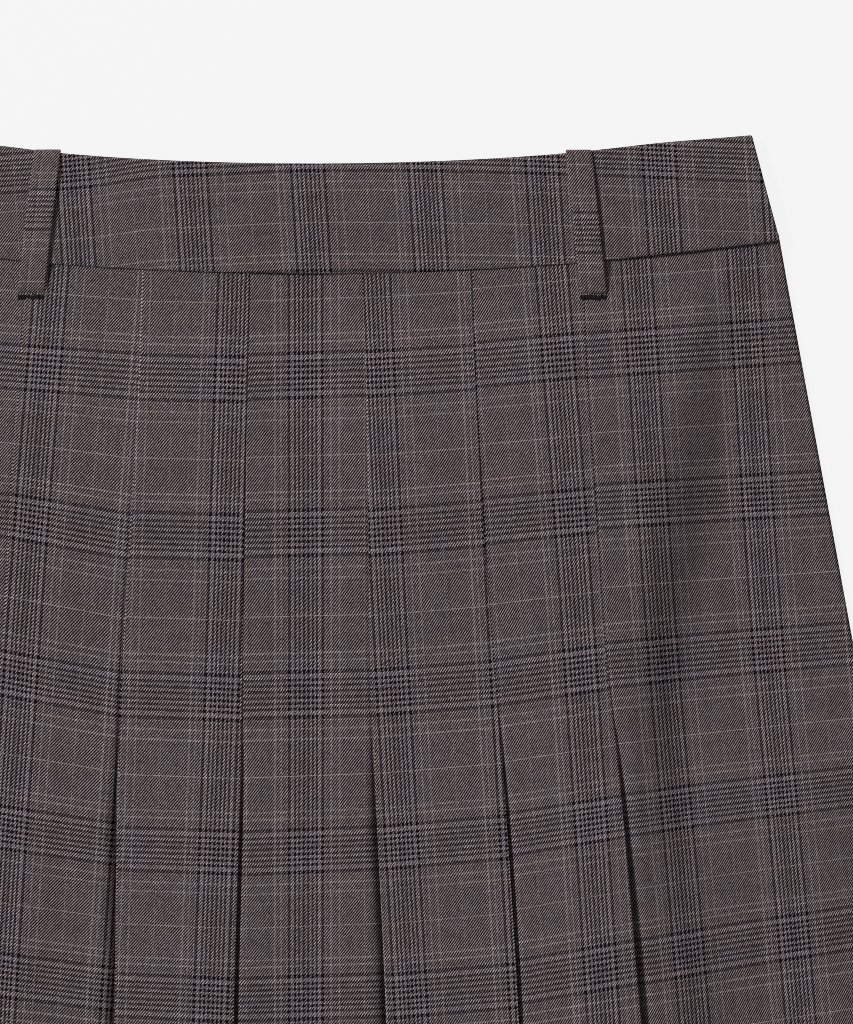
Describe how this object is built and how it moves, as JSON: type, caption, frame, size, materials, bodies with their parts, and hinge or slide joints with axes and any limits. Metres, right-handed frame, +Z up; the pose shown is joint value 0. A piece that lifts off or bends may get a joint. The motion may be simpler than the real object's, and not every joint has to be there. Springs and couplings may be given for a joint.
{
  "type": "pleated midi skirt",
  "caption": "Pleated midi skirt in a checked suiting, laid flat with its front side up, with belt loops on a shaped waistband.",
  "frame": {"origin": "under the middle of the skirt's outline, on the surface that it lies on", "axes": "+Y from the hem to the waist, +Z up from the back to the front, +X to the right as the front is looked at"},
  "size_m": [0.6406, 0.7625, 0.0081],
  "materials": {
    "suiting": "smooth worsted twill with a woven check, matt",
    "band_suiting": "the same cloth, cut with its own run of the check, over an interlining",
    "loop_suiting": "the same cloth, folded into a narrow strip",
    "zip_tape": "woven tape",
    "zip_metal": "dark, smooth"
  },
  "bodies": {
    "root": {"skirt_front": "suiting", "skirt_back_left": "suiting", "skirt_back_right": "suiting", "waistband_front": "band_suiting", "waistband_back_left": "band_suiting", "waistband_back_right": "band_suiting", "belt_loop_left": "loop_suiting", "belt_loop_right": "loop_suiting", "zip_chain": "zip_tape", "zip_slider": "zip_metal"}
  },
  "joints": []
}
